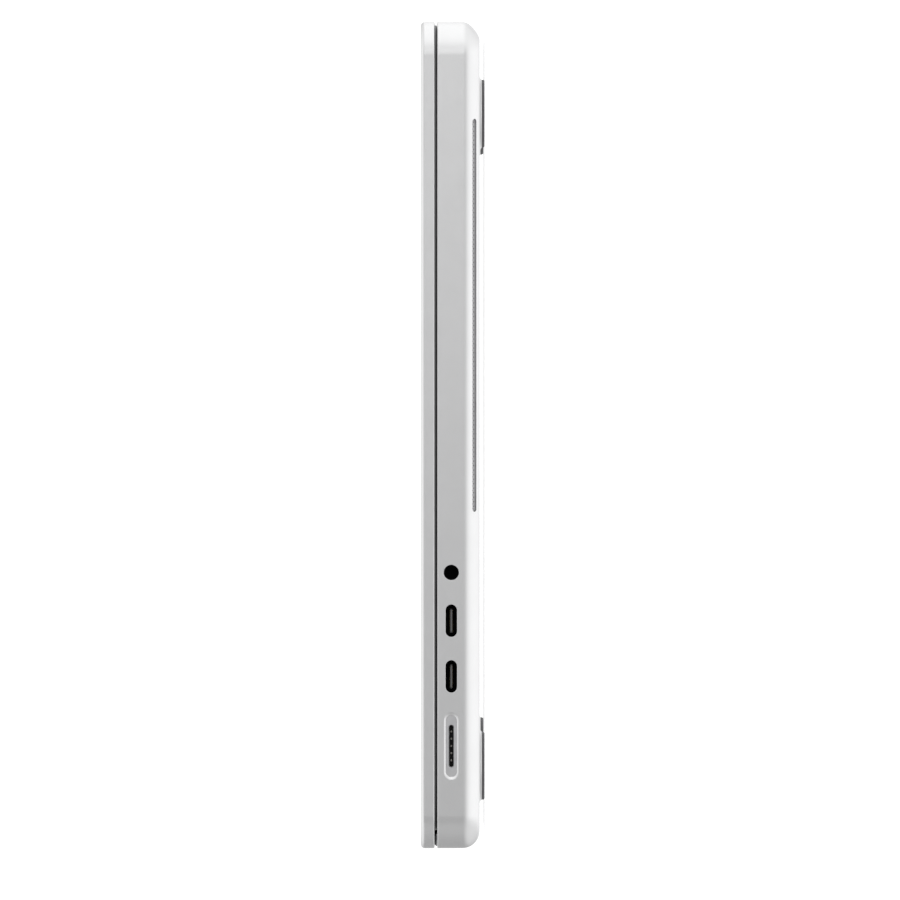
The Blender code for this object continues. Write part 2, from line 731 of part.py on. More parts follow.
def build_inside():
    packs = (
        ("battery_left", -0.1385, -0.0690, 0.0108),
        ("battery_middle", -0.0660, 0.0660, 0.0086),
        ("battery_right", 0.0690, 0.1385, 0.0108),
    )
    for name, x0, x1, top in packs:
        def pack(bm, a=x0, b=x1, z=top):
            prism(bm, rounded(a, b, -0.1030, -0.0280, 0.0020, 3), "Z", 0.0030, z)

        part(name, pack, (0.03, 0.03, 0.035), 0.6, 0.0)

    def board(bm):
        block(bm, -0.1370, 0.1370, -0.0240, 0.0450, 0.0050, 0.0062)

    def pipe(bm):
        outline = [
            (-0.0680, 0.0300), (0.0680, 0.0300), (0.0680, 0.0850), (0.0600, 0.0850),
            (0.0600, 0.0380), (-0.0600, 0.0380), (-0.0600, 0.0850), (-0.0680, 0.0850),
        ]
        prism(bm, outline, "Z", 0.0066, 0.0082)

    part("logic_board", board, (0.02, 0.05, 0.03), 0.5, 0.0)
    part("heat_pipe", pipe, (0.72, 0.38, 0.22), 0.3, 1.0)

    for side, sign in (("left", -1.0), ("right", 1.0)):
        cx = sign * FAN_X

        def housing(bm, x=cx):
            prism(bm, circle(x, FAN_Y, FAN_R, 40), "Z", 0.0032, 0.0085)

        def housing_dish(bm, x=cx):
            prism(bm, circle(x, FAN_Y, FAN_R - 0.0010, 40), "Z", 0.0040, 0.0100)

        def spindle(bm, x=cx):
            prism(bm, circle(x, FAN_Y, 0.0015, 16), "Z", 0.0036, 0.0080)

        fan = part("fan_housing_" + side, housing, DARK, 0.5, 0.0, cut=housing_dish)
        combine(fan, spindle, "UNION")

        def wheel(bm, x=cx):
            points = []
            for i in range(FAN_BLADES):
                a = 2.0 * math.pi * i / FAN_BLADES
                for r, turn in ((0.0080, -0.10), (0.0215, 0.10), (0.0215, 0.14), (0.0080, 0.00)):
                    points.append((x + r * math.cos(a + turn), FAN_Y + r * math.sin(a + turn)))
            prism(bm, points, "Z", 0.0044, 0.0078)

        def wheel_bore(bm, x=cx):
            prism(bm, circle(x, FAN_Y, 0.0020, 16), "Z", 0.0040, 0.0085)

        part("fan_impeller_" + side, wheel, (0.04, 0.04, 0.045), 0.5, 0.0,
             origin=(cx, FAN_Y, 0.0044), cut=wheel_bore)

        def speaker(bm, s=sign):
            x0, x1 = sorted((s * 0.1400, s * 0.1500))
            block(bm, x0, x1, -0.0320, 0.0170, 0.0032, 0.0110)

        part("speaker_" + side, speaker, DARK, 0.6, 0.0)


def pivot(name, location, children):
    """Empty on a joint's axis that carries the pieces moving with it."""
    empty = bpy.data.objects.new(name, None)
    empty.location = location
    bpy.context.scene.collection.objects.link(empty)
    for child in children:
        obj = bpy.data.objects[child]
        obj.location = [a - b for a, b in zip(obj.location, location)]
        obj.parent = empty


clear_scene()
build_lid()
build_hinge()
build_base()
build_sockets()
build_keys()
build_inside()
pivot("lid_axis", (0.0, HINGE_Y, HINGE_Z), LID_PIECES)
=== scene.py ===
"""Closed notebook computer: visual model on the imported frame. Metres, +Z up, front edge at -Y."""
import math

import bmesh
import bpy
from mathutils import Matrix, Vector

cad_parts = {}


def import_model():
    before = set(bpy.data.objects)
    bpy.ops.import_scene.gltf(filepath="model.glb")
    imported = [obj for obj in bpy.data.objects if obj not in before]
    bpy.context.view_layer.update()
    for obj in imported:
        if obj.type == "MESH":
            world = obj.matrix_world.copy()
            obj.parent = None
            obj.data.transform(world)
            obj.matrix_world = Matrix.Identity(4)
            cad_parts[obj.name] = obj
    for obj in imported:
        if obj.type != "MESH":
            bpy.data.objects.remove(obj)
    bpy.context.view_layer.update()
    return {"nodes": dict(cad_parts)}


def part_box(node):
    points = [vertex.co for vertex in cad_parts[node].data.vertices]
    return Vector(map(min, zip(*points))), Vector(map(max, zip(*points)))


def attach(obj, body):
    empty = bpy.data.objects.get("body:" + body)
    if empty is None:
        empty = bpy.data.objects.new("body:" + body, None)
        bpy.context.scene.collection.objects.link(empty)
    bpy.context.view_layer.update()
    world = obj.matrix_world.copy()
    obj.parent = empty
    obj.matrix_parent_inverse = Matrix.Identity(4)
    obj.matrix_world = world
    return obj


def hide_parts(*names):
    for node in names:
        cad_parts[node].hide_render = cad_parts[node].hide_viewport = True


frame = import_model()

NODES = frame["nodes"]

# Dimensions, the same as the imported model
W, D = 0.3126, 0.2212
CORNER_R = 0.0090
BASE_Z, DECK_Z = 0.0013, 0.0127
LID_Z0, LID_Z1 = 0.0134, 0.0171
EDGE_R = 0.0003
FILLET_IN, FILLET_UP = 0.0048, 0.0046
FRONT_EASE = 0.0010
HINGE_Y, HINGE_Z = D / 2 - 0.0018, 0.00925
KNUCKLE_R, KNUCKLE_UP = 0.0016, 0.00385
SIDE = W / 2
PORT_Z = 0.00893
JACK_Y, JACK_HOLE_R = 0.0367, 0.00204
USB_Y, USB_RIGHT_Y = (0.0496, 0.0645), 0.0640
USB_LONG, USB_HIGH = 0.00865, 0.00305
CHARGE_Y = 0.0831
SLOT_Y0, SLOT_Y1, SLOT_WIDE = -0.0846, 0.0205, 0.0015
SLOT_AT = math.radians(46.0)
DIAGONAL = math.sqrt(0.5)
PITCH, KEY = 0.0189, 0.0171
KEY_Z0, KEY_Z1 = 0.0114, 0.0126
WELL_X, WELL_HALF_Y, WELL_Y = 0.1375, 0.0571, 0.0361
SCREW_X, SCREW_Y = 0.1463, (-0.0995, -0.0350, 0.0200, 0.0975)
FOOT_R = 0.00915
SEG = 18
LID_TOP_R = 0.0011
PIN_HOLE_R = 0.00098
PAD_HOLE = (-0.0653, 0.0653, -0.1059, -0.0253)
PAD_X, PAD_Y0, PAD_Y1, PAD_CORNER_R = 0.0650, -0.1056, -0.0256, 0.0032
REAR_BACK = 0.0030
HINGE_WALL = HINGE_Y - 0.0020
SLOT_IN = FILLET_IN * (1 - math.sin(SLOT_AT))
SLOT_UP = FILLET_UP * (1 - math.cos(SLOT_AT))
VENT_DEPTH, VENT_HOLES, VENT_HOLE_R = 0.0006, 172, 0.00017
CHARGE_LONG, CHARGE_HIGH = 0.0178, 0.0038
CARD_Y, CARD_HALF, CARD_HALF_HIGH = 0.0425, 0.0122, 0.0013
HDMI_Y, HDMI_Z = 0.0815, 0.0084
HDMI_HALF, HDMI_HALF_HIGH, HDMI_BEVEL = 0.0072, 0.0023, 0.0016
NOTCH_HALF, NOTCH_EASE, NOTCH_DEEP = 0.0460, 0.0025, 0.0021
SPEAKER_X, SPEAKER_Y, SPEAKER_HOLE_R = 0.1412, -0.0165, 0.00024
SPEAKER_COLUMNS, SPEAKER_HOLES = 11, 105
SPEAKER_STEP_X, SPEAKER_STEP_Y = 0.00100, 0.00102


def middle(node):
    low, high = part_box(node)
    return (low[0] + high[0]) / 2, (low[1] + high[1]) / 2


FEET = {name: middle(name) for name in
        ("foot_front_left", "foot_front_right", "foot_rear_left", "foot_rear_right")}


# ---------------------------------------------------------------- materials

def nodes_of(name):
    mat = bpy.data.materials.new(name)
    mat.use_nodes = True
    tree = mat.node_tree
    return mat, tree, tree.nodes["Principled BSDF"]


def noise(tree, scale, detail=4.0, stretch=(1.0, 1.0, 1.0)):
    coord = tree.nodes.new("ShaderNodeTexCoord")
    mapping = tree.nodes.new("ShaderNodeMapping")
    mapping.inputs["Scale"].default_value = stretch
    tex = tree.nodes.new("ShaderNodeTexNoise")
    tex.inputs["Scale"].default_value = scale
    tex.inputs["Detail"].default_value = detail
    tree.links.new(coord.outputs["Object"], mapping.inputs["Vector"])
    tree.links.new(mapping.outputs["Vector"], tex.inputs["Vector"])
    return tex.outputs["Fac"]


def spread(tree, fac, lo, hi, low=0.3, high=0.7):
    ramp = tree.nodes.new("ShaderNodeMapRange")
    ramp.inputs["From Min"].default_value = low
    ramp.inputs["From Max"].default_value = high
    ramp.inputs["To Min"].default_value = lo
    ramp.inputs["To Max"].default_value = hi
    tree.links.new(fac, ramp.inputs["Value"])
    return ramp.outputs["Result"]


def tint(tree, fac, dark, light):
    ramp = tree.nodes.new("ShaderNodeValToRGB")
    ramp.color_ramp.elements[0].position = 0.35
    ramp.color_ramp.elements[0].color = (*dark, 1.0)
    ramp.color_ramp.elements[1].position = 0.65
    ramp.color_ramp.elements[1].color = (*light, 1.0)
    tree.links.new(fac, ramp.inputs["Fac"])
    return ramp.outputs["Color"]


def grained(name, dark, light, rough, metal, grain, bump, cloud=35.0, stretch=(1, 1, 1),
            depth=2e-5):
    """Colour drifts in wide soft clouds; a fine grain drives roughness and bump."""
    mat, tree, shader = nodes_of(name)
    wide = noise(tree, cloud, 3.0)
    fine = noise(tree, grain, 5.0, stretch)
    tree.links.new(tint(tree, wide, dark, light), shader.inputs["Base Color"])
    tree.links.new(spread(tree, fine, rough[0], rough[1]), shader.inputs["Roughness"])
    shader.inputs["Metallic"].default_value = metal
    node = tree.nodes.new("ShaderNodeBump")
    node.inputs["Strength"].default_value = bump
    node.inputs["Distance"].default_value = depth
    tree.links.new(fine, node.inputs["Height"])
    tree.links.new(node.outputs["Normal"], shader.inputs["Normal"])
    return mat


ALU = grained("anodised_aluminium", (0.610, 0.611, 0.614), (0.622, 0.623, 0.626),
              (0.33, 0.41), 1.0, 5200.0, 0.22, cloud=160.0)
ALU_PAD = grained("trackpad_satin", (0.565, 0.568, 0.573), (0.590, 0.593, 0.597),
                  (0.30, 0.38), 0.9, 6500.0, 0.10)
STEEL = grained("brushed_steel", (0.44, 0.44, 0.45), (0.52, 0.52, 0.53),
                (0.26, 0.40), 1.0, 900.0, 0.25, stretch=(1.0, 14.0, 14.0))
RIM = grained("socket_rim_metal", (0.56, 0.56, 0.57), (0.61, 0.61, 0.62),
              (0.30, 0.38), 1.0, 3000.0, 0.15, cloud=400.0)
RUBBER = grained("foot_rubber", (0.112, 0.112, 0.115), (0.140, 0.140, 0.144),
                 (0.62, 0.82), 0.0, 2600.0, 0.5)
GASKET = grained("gasket_rubber", (0.010, 0.010, 0.011), (0.016, 0.016, 0.017),
                 (0.26, 0.36), 0.0, 2600.0, 0.15)
GASKET.node_tree.nodes["Principled BSDF"].inputs["Specular IOR Level"].default_value = 1.0
KEYCAP = grained("keycap_plastic", (0.016, 0.016, 0.018), (0.024, 0.024, 0.026),
                 (0.46, 0.60), 0.0, 3600.0, 0.30)
WELL = grained("well_plastic", (0.010, 0.010, 0.011), (0.016, 0.016, 0.017),
               (0.55, 0.70), 0.0, 2600.0, 0.3)
MESH = grained("vent_mesh_grey", (0.370, 0.370, 0.376), (0.430, 0.430, 0.437),
               (0.50, 0.66), 0.0, 2600.0, 0.4)
# Near-black, darker than any real plastic: painted shade for the insides of the sockets and for the
# vent perforations.
PAINTED_SHADE_BLACK = grained("socket_inside_painted_shade", (0.0025, 0.0025, 0.0027), (0.0050, 0.0050, 0.0053),
               (0.60, 0.80), 0.0, 3000.0, 0.25)
PAINTED_SHADE_BLACK.node_tree.nodes["Principled BSDF"].inputs["Specular IOR Level"].default_value = 0.15
BLACK = grained("socket_plastic", (0.012, 0.012, 0.013), (0.020, 0.020, 0.022),
                (0.38, 0.52), 0.0, 3000.0, 0.25)
CLUTCH = grained("hinge_cover_plastic", (0.018, 0.018, 0.020), (0.028, 0.028, 0.030),
                 (0.42, 0.55), 0.0, 3000.0, 0.3)
TONGUE = grained("socket_tongue", (0.075, 0.075, 0.077), (0.100, 0.100, 0.103),
                 (0.40, 0.55), 0.0, 2800.0, 0.2)
LEGEND = grained("key_legend", (0.62, 0.62, 0.63), (0.70, 0.70, 0.71),
                 (0.50, 0.60), 0.0, 3000.0, 0.1)
GOLD = grained("contact_gold", (0.66, 0.50, 0.24), (0.76, 0.58, 0.30),
               (0.22, 0.32), 1.0, 2500.0, 0.1)
PIN = grained("charge_pin_metal", (0.20, 0.19, 0.18), (0.28, 0.27, 0.25),
              (0.35, 0.50), 1.0, 2500.0, 0.1, cloud=900.0)
BOARD = grained("board_lacquer", (0.010, 0.040, 0.026), (0.022, 0.070, 0.045),
                (0.30, 0.50), 0.0, 700.0, 0.5, cloud=160.0)
COPPER = grained("heat_pipe_copper", (0.62, 0.30, 0.17), (0.76, 0.42, 0.27),
                 (0.26, 0.40), 1.0, 900.0, 0.3, cloud=90.0)
POUCH = grained("battery_laminate", (0.020, 0.020, 0.023), (0.034, 0.034, 0.038),
                (0.35, 0.55), 0.0, 500.0, 0.5, cloud=60.0)


def display_material():
    """Black glass, a little lighter over the picture area, with faint wipe marks in its gloss."""
    mat, tree, shader = nodes_of("display_glass_black")
    coord = tree.nodes.new("ShaderNodeTexCoord")
    split = tree.nodes.new("ShaderNodeSeparateXYZ")
    tree.links.new(coord.outputs["Object"], split.inputs["Vector"])

    def inside(socket, middle, half):
        shift = tree.nodes.new("ShaderNodeMath")
        shift.operation = "SUBTRACT"
        shift.inputs[1].default_value = middle
        size = tree.nodes.new("ShaderNodeMath")
        size.operation = "ABSOLUTE"
        less = tree.nodes.new("ShaderNodeMath")
        less.operation = "LESS_THAN"
        less.inputs[1].default_value = half
        tree.links.new(split.outputs[socket], shift.inputs[0])
        tree.links.new(shift.outputs[0], size.inputs[0])
        tree.links.new(size.outputs[0], less.inputs[0])
        return less.outputs[0]

    both = tree.nodes.new("ShaderNodeMath")
    both.operation = "MULTIPLY"
    tree.links.new(inside("X", 0.0, 0.1485), both.inputs[0])
    tree.links.new(inside("Y", -0.0035, 0.0955), both.inputs[1])
    mix = tree.nodes.new("ShaderNodeMix")
    mix.data_type = "RGBA"
    mix.inputs["A"].default_value = (0.0035, 0.0035, 0.0040, 1.0)
    mix.inputs["B"].default_value = (0.0110, 0.0112, 0.0125, 1.0)
    tree.links.new(both.outputs[0], mix.inputs["Factor"])
    tree.links.new(mix.outputs["Result"], shader.inputs["Base Color"])
    wipe = noise(tree, 22.0, 5.0, (1.0, 3.0, 1.0))
    tree.links.new(spread(tree, wipe, 0.05, 0.13), shader.inputs["Roughness"])
    shader.inputs["Specular IOR Level"].default_value = 0.28
    return mat


GLASS = display_material()


# ---------------------------------------------------------------- mesh code

def rounded(x0, x1, y0, y1, radius, seg=SEG):
    points = []
    for cx, cy, start in (
        (x1 - radius, y0 + radius, -90.0),
        (x1 - radius, y1 - radius, 0.0),
        (x0 + radius, y1 - radius, 90.0),
        (x0 + radius, y0 + radius, 180.0),
    ):
        for i in range(seg + 1):
            a = math.radians(start + 90.0 * i / seg)
            points.append((cx + radius * math.cos(a), cy + radius * math.sin(a)))
    return points


def circle(cx, cy, radius, seg=48):
    return [
        (cx + radius * math.cos(2 * math.pi * i / seg),
         cy + radius * math.sin(2 * math.pi * i / seg))
        for i in range(seg)
    ]


def stadium(cx, cy, length, height, seg=16):
    r = height / 2
    h = length / 2 - r
    points = []
    for side, start in ((1.0, -90.0), (-1.0, 90.0)):
        for i in range(seg + 1):
            a = math.radians(start + 180.0 * i / seg)
            points.append((cx + side * h + r * math.cos(a), cy + r * math.sin(a)))
    return points


def loft(bm, rings, close=False):
    rows = [[bm.verts.new(p) for p in ring] for ring in rings]
    n = len(rows[0])
    pairs = list(zip(rows[:-1], rows[1:]))
    if close:
        pairs.append((rows[-1], rows[0]))
    for a, b in pairs:
        for i in range(n):
            j = (i + 1) % n
            bm.faces.new((a[i], a[j], b[j], b[i]))
    if not close:
        bm.faces.new(list(reversed(rows[0])))
        bm.faces.new(rows[-1])


def at(axis, t, p):
    if axis == "X":
        return (t, p[0], p[1])
    if axis == "Y":
        return (p[0], t, p[1])
    return (p[0], p[1], t)


def prism(bm, outline, axis, lo, hi):
    loft(bm, [[at(axis, t, p) for p in outline] for t in (lo, hi)])


def steps(bm, outlines, axis):
    """Loft through (position, outline) pairs along an axis."""
    loft(bm, [[at(axis, t, p) for p in outline] for t, outline in outlines])


def block(bm, x0, x1, y0, y1, z0, z1):
    prism(bm, [(x0, y0), (x1, y0), (x1, y1), (x0, y1)], "Z", z0, z1)


def plan(inset, rear=None):
    rear = inset if rear is None else rear
    return rounded(-W / 2 + inset, W / 2 - inset, -D / 2 + inset, D / 2 - rear,
                   max(CORNER_R - inset, 0.0008))


def mesh_from(name, draw):
    bm = bmesh.new()
    draw(bm)
    bmesh.ops.recalc_face_normals(bm, faces=bm.faces)
    mesh = bpy.data.meshes.new(name)
    bm.to_mesh(mesh)
    bm.free()
    return mesh


def cut_mesh(mesh, draws):
    """Mesh with each drawing taken away ('-') or joined on ('+') in turn."""
    obj = bpy.data.objects.new("work", mesh)
    bpy.context.scene.collection.objects.link(obj)
    helpers = []
    for sign, draw in draws:
        helper = bpy.data.objects.new("helper", mesh_from("helper", draw))
        bpy.context.scene.collection.objects.link(helper)
        helpers.append(helper)
        mod = obj.modifiers.new("cut", "BOOLEAN")
        mod.operation = "DIFFERENCE" if sign == "-" else "UNION"
        mod.solver = "EXACT"
        mod.object = helper
    graph = bpy.context.evaluated_depsgraph_get()
    graph.update()
    result = bpy.data.meshes.new_from_object(obj.evaluated_get(graph))
    for o in helpers + [obj]:
        bpy.data.objects.remove(o, do_unlink=True)
    return result


def piece(name, draw, mat, body, replaces=(), cuts=(), sharp=30.0, bevel=0.0):
    mesh = mesh_from(name, draw)
    if cuts:
        mesh = cut_mesh(mesh, cuts)
    mesh.name = name
    mesh.materials.clear()
    mesh.materials.append(mat)
    mesh.shade_smooth()
    mesh.set_sharp_from_angle(angle=math.radians(sharp))
    obj = bpy.data.objects.new(name, mesh)
    bpy.context.scene.collection.objects.link(obj)
    if bevel:
        mod = obj.modifiers.new("edges", "BEVEL")
        mod.width = bevel
        mod.segments = 2
        mod.limit_method = "ANGLE"
        mod.angle_limit = math.radians(35.0)
    fix = obj.modifiers.new("normals", "WEIGHTED_NORMAL")
    fix.keep_sharp = True
    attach(obj, body)
    if replaces:
        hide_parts(*replaces)
    return obj


# ---------------------------------------------------------------- lid

def lid_shell(bm):
    rows = [(EDGE_R * (1 - math.cos(a)), LID_Z0 + EDGE_R * (1 - math.sin(a)))
            for a in (math.radians(15.0 * i) for i in range(6, -1, -1))]
    for i in range(13):
        a = math.radians(90.0 * i / 12)
        rows.append((LID_TOP_R * (1 - math.cos(a)), LID_Z1 - LID_TOP_R + LID_TOP_R * math.sin(a)))
    steps(bm, [(z, plan(inset)) for inset, z in rows], "Z")


def lid_pocket(bm):
    prism(bm, plan(0.0015, 0.0045), "Z", LID_Z0 - 0.002, LID_Z1 - 0.0010)


piece("lid_shell", lid_shell, ALU, "lid", ["lid_cover"], [("-", lid_pocket)])


def gasket(bm):
    """Ring whose soft lip swells outward under the lid's edge and nearly meets the deck."""
    rows = ((0.0019, 0.0146), (0.0019, 0.01345), (0.0011, 0.01342), (0.0009, 0.01325),
            (0.0009, 0.01295), (0.0011, 0.01278), (0.0015, 0.01273), (0.0025, 0.01273),
            (0.0029, 0.01280), (0.0031, 0.01300), (0.0031, 0.0146))
    loft(bm, [[(p[0], p[1], z) for p in plan(i, max(i, 0.0019) + REAR_BACK)] for i, z in rows],
         close=True)


piece("gasket_ring", gasket, GASKET, "lid", ["lid_gasket"])


def glass(bm):
    rows = ((0.0146, 0.0035), (0.01375, 0.0035), (0.01362, 0.00363), (0.0136, 0.0038))
    steps(bm, [(z, plan(i, i + REAR_BACK)) for z, i in rows], "Z")


piece("display_face", glass, GLASS, "lid", ["display_glass"], sharp=60.0)


def lens(bm):
    rows = ((0.01362, 0.0016), (0.01358, 0.0016), (0.01358, 0.0011), (0.01364, 0.0009))
    steps(bm, [(z, circle(0.0, -0.1040, r, 32)) for z, r in rows], "Z")


piece("camera_lens_ring", lens, BLACK, "lid", ())


# ---------------------------------------------------------------- hinge

def knuckle(grow=0.0):
    r = KNUCKLE_R + grow
    top = HINGE_Z + KNUCKLE_UP
    points = [(HINGE_Y + r, top), (HINGE_Y - r, top)]
    for i in range(33):
        a = math.radians(180.0 + 180.0 * i / 32)
        points.append((HINGE_Y + r * math.cos(a), HINGE_Z + r * math.sin(a)))
    return points


def cover_outline():
    points = knuckle()
    top = LID_Z0 - 0.00002
    front = HINGE_Y - 0.0027
    return [(HINGE_Y + KNUCKLE_R, top), (front, top), (front, top - 0.0004),
            (HINGE_Y - KNUCKLE_R, top - 0.0004)] + points[2:]


piece("hinge_cover", lambda bm: prism(bm, cover_outline(), "X", -0.1150, 0.1150), CLUTCH, "lid",
      ["clutch_cover"], sharp=40.0)
for tag, s in (("left", -1.0), ("right", 1.0)):
    a, b = sorted((s * 0.1155, s * 0.1280))
    piece("hinge_arm_" + tag, lambda bm: prism(bm, knuckle(), "X", a, b), STEEL, "lid",
          ["lid_arm_" + tag],
          [("-", lambda bm: prism(bm, circle(HINGE_Y, HINGE_Z, PIN_HOLE_R, 32), "X",
                                  a - 1e-3, b + 1e-3))],
          sharp=40.0)


# ---------------------------------------------------------------- base shell

def front_share(y, inset):
    """1 on the straight front edge, falling to 0 where the corner meets the side."""
    t = min(max((CORNER_R - D / 2 - y) / (CORNER_R - inset), 0.0), 1.0)
    return t * t * (3 - 2 * t)


def base_shell(bm):
    """The lower edge is rounder along the front than along the sides."""
    rows = []
    for i in range(17):
        a = math.radians(90.0 * i / 16)
        rows.append((FILLET_IN * (1 - math.sin(a)), BASE_Z + FILLET_UP * (1 - math.cos(a)),
                     FRONT_EASE * math.sin(2 * a) * math.cos(a)))
    for i in range(7):
        a = math.radians(15.0 * i)
        rows.append((EDGE_R * (1 - math.cos(a)), DECK_Z - EDGE_R * (1 - math.sin(a)), 0.0))
    steps(bm, [(z, [(x, y + ease * front_share(y, inset)) for x, y in plan(inset)])
               for inset, z, ease in rows], "Z")


def base_hollow(bm):
    rows = ((0.0049, 0.0049, BASE_Z - 0.002), (0.0049, 0.0049, BASE_Z + 0.0014),
            (0.0022, 0.0065, BASE_Z + 0.0040), (0.0022, 0.0065, DECK_Z - 0.0013))
    loft(bm, [[(p[0], p[1], z) for p in rounded(-W / 2 + i, W / 2 - i, -D / 2 + i, D / 2 - r,
               max(CORNER_R - i, 0.001))] for i, r, z in rows])


def deck_openings(bm):
    prism(bm, rounded(-WELL_X, WELL_X, WELL_Y - WELL_HALF_Y, WELL_Y + WELL_HALF_Y, 0.0025, 8),
          "Z", DECK_Z - 0.003, DECK_Z + 0.002)
    prism(bm, rounded(*PAD_HOLE, 0.0035, 8), "Z", DECK_Z - 0.003, DECK_Z + 0.002)


def hdmi(grow):
    w, h, y, z = HDMI_HALF + grow, HDMI_HALF_HIGH + grow, HDMI_Y, HDMI_Z
    return [(y - w + HDMI_BEVEL, z - h), (y + w - HDMI_BEVEL, z - h), (y + w, z - h + HDMI_BEVEL),
            (y + w, z + h), (y - w, z + h), (y - w, z - h + HDMI_BEVEL)]


BROKEN_EDGE = ((0.0010, 0.00032), (0.0, 0.00010), (-0.00004, 0.00004), (-0.00010, 0.0),
               (-0.0030, 0.0))
CHARGE_RIM = ((0.0010, 0.00022), (0.0, 0.00012), (-0.00002, 0.00004), (-0.00012, -0.00030),
              (-0.00020, -0.00040), (-0.0030, -0.00040))


def flared(bm, outline, sign, profile=BROKEN_EDGE):
    """Socket hole that opens out at the outer face, through (outward, grow) pairs."""
    steps(bm, [(sign * (SIDE + out), outline(grow)) for out, grow in profile], "X")


def usb_hole(y, grow):
    return stadium(y, PORT_Z, USB_LONG + 2 * grow, USB_HIGH + 2 * grow)


def charge_outline(grow):
    """Recess of the charge socket; its ends slope more gently than its sides."""
    return stadium(CHARGE_Y, PORT_Z, CHARGE_LONG + 3.2 * grow, CHARGE_HIGH + 2 * grow)


def socket_holes(bm):
    flared(bm, lambda g: circle(JACK_Y, PORT_Z, JACK_HOLE_R + g), -1.0)
    for y in USB_Y:
        flared(bm, lambda g, y=y: usb_hole(y, g), -1.0)
    flared(bm, charge_outline, -1.0, CHARGE_RIM)
    flared(bm, lambda g: usb_hole(USB_RIGHT_Y, g), 1.0)
    flared(bm, lambda g: rounded(CARD_Y - CARD_HALF - g, CARD_Y + CARD_HALF + g,
                                 PORT_Z - CARD_HALF_HIGH - g, PORT_Z + CARD_HALF_HIGH + g,
                                 0.0004 + g, 4), 1.0)
    flared(bm, hdmi, 1.0)


def slot_ring(sign, depth, outline):
    """Outline of (along, across) points laid across the air slot's axis at a depth."""
    return [(sign * (SIDE - SLOT_IN - (depth + t) * DIAGONAL), y,
             BASE_Z + SLOT_UP + (depth - t) * DIAGONAL) for y, t in outline]


def slot_bar(bm, sign, grow, depths):
    """Bar of the air slot's outline, running inward and up at 45 degrees from the curved edge."""
    ring = stadium((SLOT_Y0 + SLOT_Y1) / 2, 0.0, SLOT_Y1 - SLOT_Y0 + 2 * grow, SLOT_WIDE + 2 * grow,
                   10)
    loft(bm, [slot_ring(sign, depth, ring) for depth in depths])


def air_slots(bm):
    for s in (-1.0, 1.0):
        slot_bar(bm, s, 0.0, (-0.0012, 0.0034))


def scoop(bm):
    half = W / 2 - 0.0143
    block(bm, -half, half, HINGE_WALL, D / 2 + 0.002, HINGE_Z - 0.0045, DECK_Z + 0.002)


def notch(bm):
    """Finger notch in the front edge, with ends that ease in."""
    points = []
    for i in range(11):
        t = i / 10
        points.append((-NOTCH_HALF + NOTCH_EASE * t,
                       DECK_Z + 0.001 - NOTCH_DEEP * (3 * t * t - 2 * t ** 3)))
    points += [(-x, z) for x, z in reversed(points)]
    prism(bm, points, "Y", -D / 2 - 0.001, -D / 2 + 0.0014)


def grille_room(bm):
    block(bm, -0.1080, 0.1080, HINGE_WALL - 0.0011, HINGE_WALL + 0.0005,
          HINGE_Z - 0.0041, HINGE_Z + 0.0015)


piece("base_shell", base_shell, ALU, "base", ["top_case"],
      [("-", base_hollow), ("-", deck_openings), ("-", socket_holes), ("-", air_slots),
       ("-", scoop), ("-", notch), ("-", grille_room)])


def vent_backs(bm):
    """Mesh strip a little way inside each air slot."""
    for s in (-1.0, 1.0):
        slot_bar(bm, s, -0.00004, (VENT_DEPTH, VENT_DEPTH + 0.0004))


def vent_dots(bm):
    """Two rows of perforations on each mesh strip, as thin closed near-black discs: painted shade
    standing in for holes.
    """
    for s in (-1.0, 1.0):
        for i in range(VENT_HOLES):
            y = SLOT_Y0 + 0.0009 + (SLOT_Y1 - SLOT_Y0 - 0.0018) * i / (VENT_HOLES - 1)
            ring = circle(y, 0.00025 * (-1) ** i, VENT_HOLE_R, 8)
            loft(bm, [slot_ring(s, depth, ring)
                      for depth in (VENT_DEPTH - 0.00001, VENT_DEPTH + 0.00004)])


piece("vent_mesh", vent_backs, MESH, "base")
# Vent perforations as near-black discs: painted shade for the holes.
piece("vent_mesh_holes_painted_shade", vent_dots, PAINTED_SHADE_BLACK, "base")


def speaker_dots(bm):
    """Field of perforations beside the keyboard, as thin closed dark discs: painted shade standing
    in for holes.
    """
    for s in (-1.0, 1.0):
        for i in range(SPEAKER_COLUMNS):
            for j in range(SPEAKER_HOLES):
                x = s * (SPEAKER_X + SPEAKER_STEP_X * i)
                y = SPEAKER_Y + SPEAKER_STEP_Y * j
                prism(bm, circle(x, y, SPEAKER_HOLE_R, 6), "Z", DECK_Z - 0.00004, DECK_Z + 0.00001)


# The keyboard well's dark plastic, used here as painted shade for the speaker holes.
piece("speaker_perforations_painted_shade", speaker_dots, WELL, "base", ())


# ---------------------------------------------------------------- underside

def cover(bm):
    rows = ((BASE_Z + 0.0010, 0.0052), (BASE_Z + 0.00012, 0.0052), (BASE_Z, 0.00532))
    steps(bm, [(z, plan(inset)) for z, inset in rows], "Z")


def cover_bosses(bm):
    rows = ((BASE_Z + 0.0004, FOOT_R + 0.00080), (BASE_Z, FOOT_R + 0.00075),
            (0.00110, FOOT_R + 0.00038), (0.00090, FOOT_R + 0.00012), (0.00078, FOOT_R))
    for x, y in FEET.values():
        steps(bm, [(z, circle(x, y, r, 64)) for z, r in rows], "Z")


def cover_holes(bm):
    for s in (-1.0, 1.0):
        for y in SCREW_Y:
            prism(bm, circle(s * SCREW_X, y, 0.0021, 32), "Z", BASE_Z - 0.001, BASE_Z + 0.002)


piece("underside_cover", cover, ALU, "base", ["bottom_cover"],
      [("+", cover_bosses), ("-", cover_holes)])

